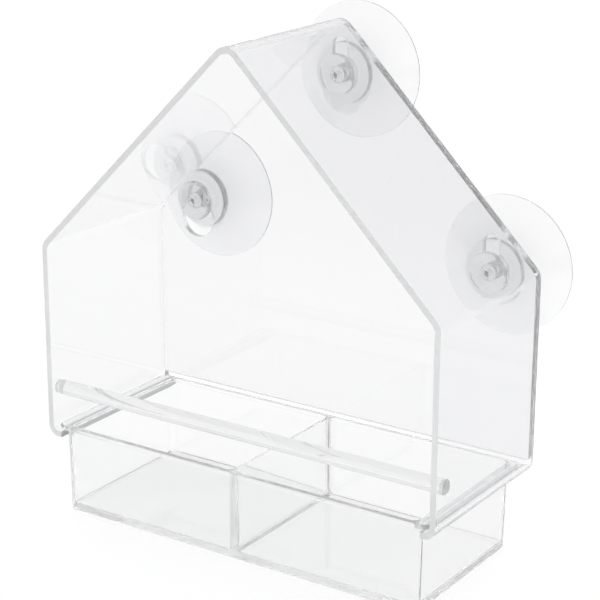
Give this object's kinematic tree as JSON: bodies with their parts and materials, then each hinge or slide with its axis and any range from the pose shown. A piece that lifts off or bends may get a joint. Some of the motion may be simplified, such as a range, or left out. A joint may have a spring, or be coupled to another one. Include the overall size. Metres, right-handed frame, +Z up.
{
  "type": "hanging window bird feeder",
  "caption": "Clear house-shaped bird feeder that hangs on a window pane by suction cups in keyholes, with a perch rod and a divided seed tray that slides out to the front.",
  "frame": {"origin": "on the window pane, at the centre of the top suction cup's face as the feeder hangs in the picture", "axes": "+Y into the window pane, +Z up, +X to the right of someone who faces the open front"},
  "size_m": [0.1606, 0.0748, 0.1706],
  "materials": {
    "clear_acrylic": "clear cast acrylic sheet, polished faces and cut edges",
    "clear_acrylic_rod": "clear extruded acrylic rod, polished",
    "clear_polystyrene": "clear moulded polystyrene, glossy",
    "clear_soft_pvc": "clear soft PVC, glossy moulding"
  },
  "bodies": {
    "house": {"house_shell": "clear_acrylic", "back_panel": "clear_acrylic", "perch_rod": "clear_acrylic_rod"},
    "tray": {"seed_tray": "clear_polystyrene"},
    "cup_top": {"suction_cup_top": "clear_soft_pvc"},
    "cup_left": {"suction_cup_left": "clear_soft_pvc"},
    "cup_right": {"suction_cup_right": "clear_soft_pvc"}
  },
  "joints": [
    {"name": "tray_slide", "type": "slide", "parent": "house", "child": "tray", "axis": [0, -1, 0], "range_m": [-0.0146, 0.059]},
    {"name": "cup_top_slide", "type": "slide", "parent": "house", "child": "cup_top", "axis": [0, 0, 1], "range_m": [0, 0.0079]},
    {"name": "cup_left_slide", "type": "slide", "parent": "house", "child": "cup_left", "axis": [0, 0, 1], "range_m": [-0.0068, 0.0008]},
    {"name": "cup_right_slide", "type": "slide", "parent": "house", "child": "cup_right", "axis": [0, 0, 1], "range_m": [0, 0.0076]}
  ]
}
